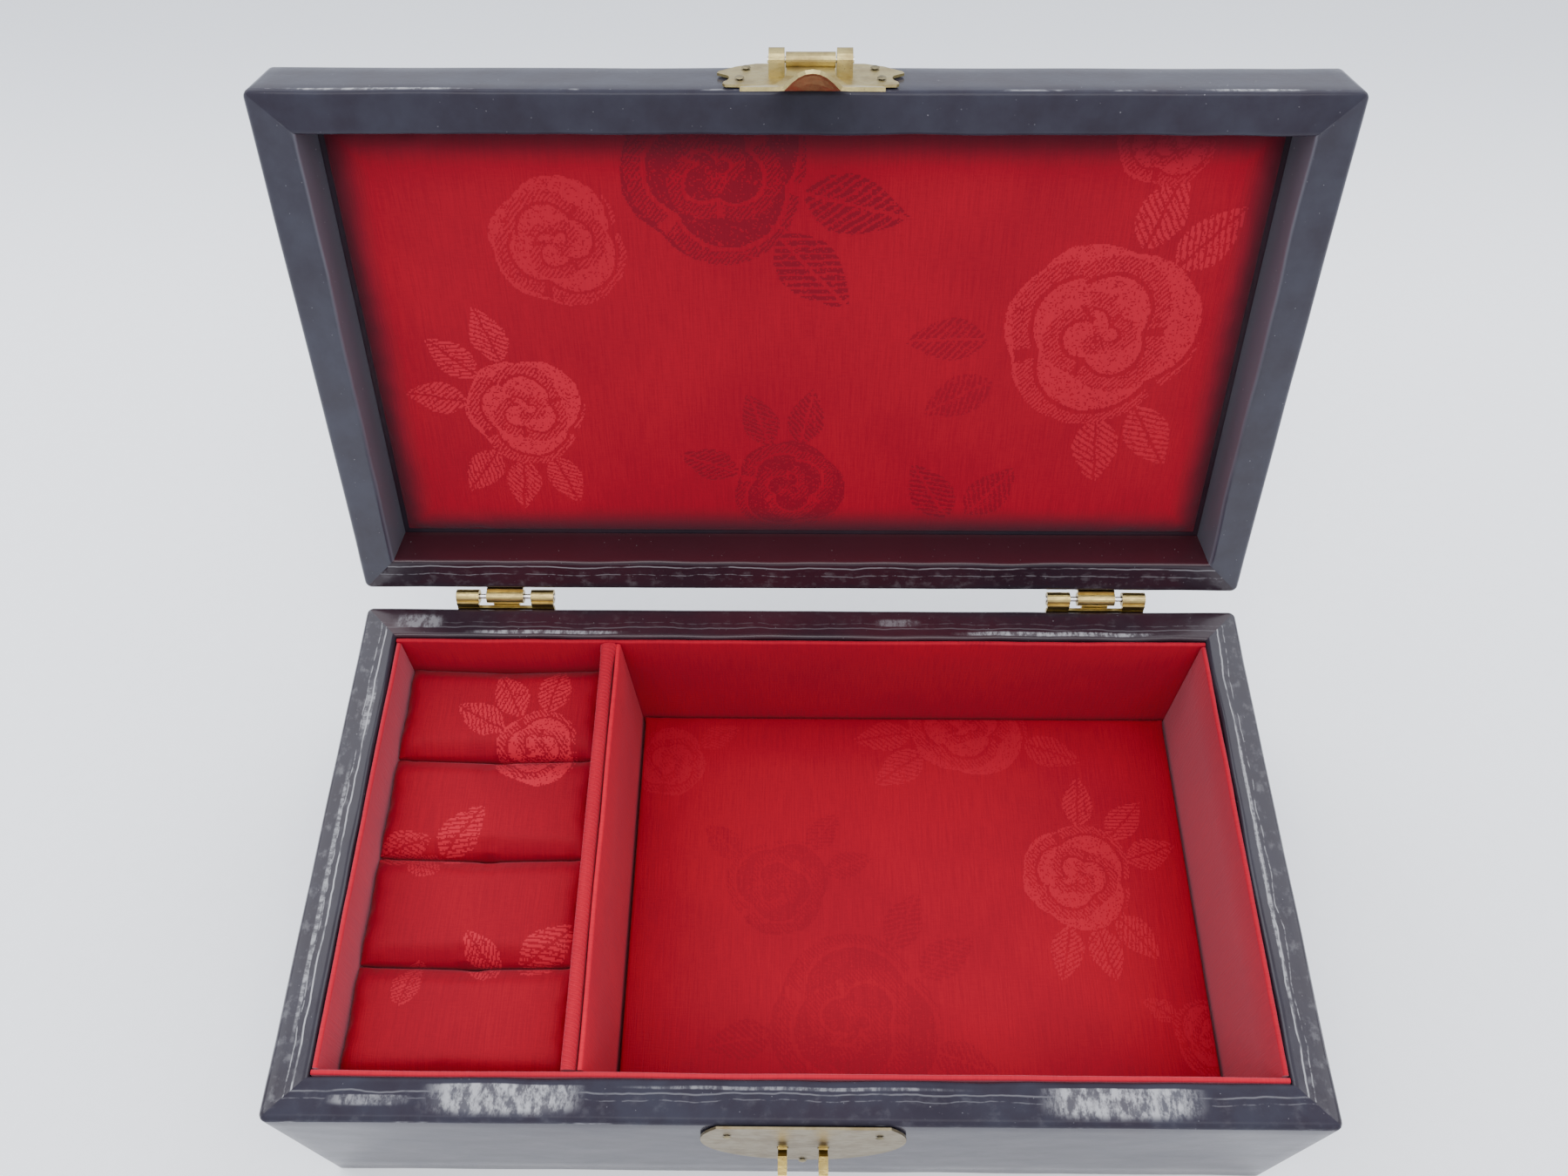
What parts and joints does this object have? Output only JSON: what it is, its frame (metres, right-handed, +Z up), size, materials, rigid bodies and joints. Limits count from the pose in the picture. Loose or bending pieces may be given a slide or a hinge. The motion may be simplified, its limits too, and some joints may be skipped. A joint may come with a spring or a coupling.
{
  "type": "jewelry box",
  "caption": "Lacquered wooden jewelry box with a hinged lid, fabric-lined tray, ring rolls, divider and a brass hasp with staples.",
  "frame": {"origin": "centre of the base's underside", "axes": "+X along the long side, to the right seen from the front; the front with the catch faces -Y; +Z up"},
  "size_m": [0.25, 0.2173, 0.2242],
  "materials": {
    "lacquered_wood": "dark maroon gloss lacquer, worn at the edges",
    "red_damask": "woven red damask with roses in satin",
    "card": "plain grey card",
    "foam": "open-cell foam",
    "brass": "satin, lightly tarnished pale brass",
    "steel": "bright drawn wire"
  },
  "bodies": {
    "base": {"base_front_wall": "lacquered_wood", "base_back_wall": "lacquered_wood", "base_left_wall": "lacquered_wood", "base_right_wall": "lacquered_wood", "base_bottom_panel": "lacquered_wood", "floor_board": "card", "floor_pad": "red_damask", "liner_front_wall": "red_damask", "liner_back_wall": "red_damask", "liner_left_wall": "red_damask", "liner_right_wall": "red_damask", "divider": "red_damask", "divider_liner": "red_damask", "ring_roll_bed": "foam", "ring_roll_1": "red_damask", "ring_roll_2": "red_damask", "ring_roll_3": "red_damask", "ring_roll_4": "red_damask", "catch_plate": "brass", "catch_plate_nail_1": "brass", "catch_plate_nail_2": "brass", "catch_plate_nail_3": "brass", "staple_left": "brass", "staple_right": "brass", "hinge_left_base_leaf": "brass", "hinge_left_base_leaf_nail_1": "brass", "hinge_left_base_leaf_nail_2": "brass", "hinge_left_pin": "steel", "hinge_right_base_leaf": "brass", "hinge_right_base_leaf_nail_1": "brass", "hinge_right_base_leaf_nail_2": "brass", "hinge_right_pin": "steel"},
    "lid": {"lid_front_wall": "lacquered_wood", "lid_back_wall": "lacquered_wood", "lid_left_wall": "lacquered_wood", "lid_right_wall": "lacquered_wood", "lid_top_panel": "lacquered_wood", "lid_lining_board": "card", "lid_lining_pad": "red_damask", "hinge_left_lid_leaf": "brass", "hinge_left_lid_leaf_nail_1": "brass", "hinge_left_lid_leaf_nail_2": "brass", "hinge_right_lid_leaf": "brass", "hinge_right_lid_leaf_nail_1": "brass", "hinge_right_lid_leaf_nail_2": "brass", "latch_plate": "brass", "latch_plate_nail_1": "brass", "latch_plate_nail_2": "brass", "latch_plate_nail_3": "brass", "latch_plate_nail_4": "brass", "hasp_pin": "steel"},
    "hasp": {"hasp_flap": "brass"}
  },
  "joints": [
    {"name": "lid_hinge", "type": "hinge", "parent": "base", "child": "lid", "pos_m": [0, 0.07294, 0.065], "axis": [-1, 0, 0], "range_deg": [-109, 0]},
    {"name": "hasp_hinge", "type": "hinge", "parent": "lid", "child": "hasp", "pos_m": [0.0015, 0.1291, 0.20107], "axis": [-1, 0, 0], "range_deg": [0, 185]}
  ]
}
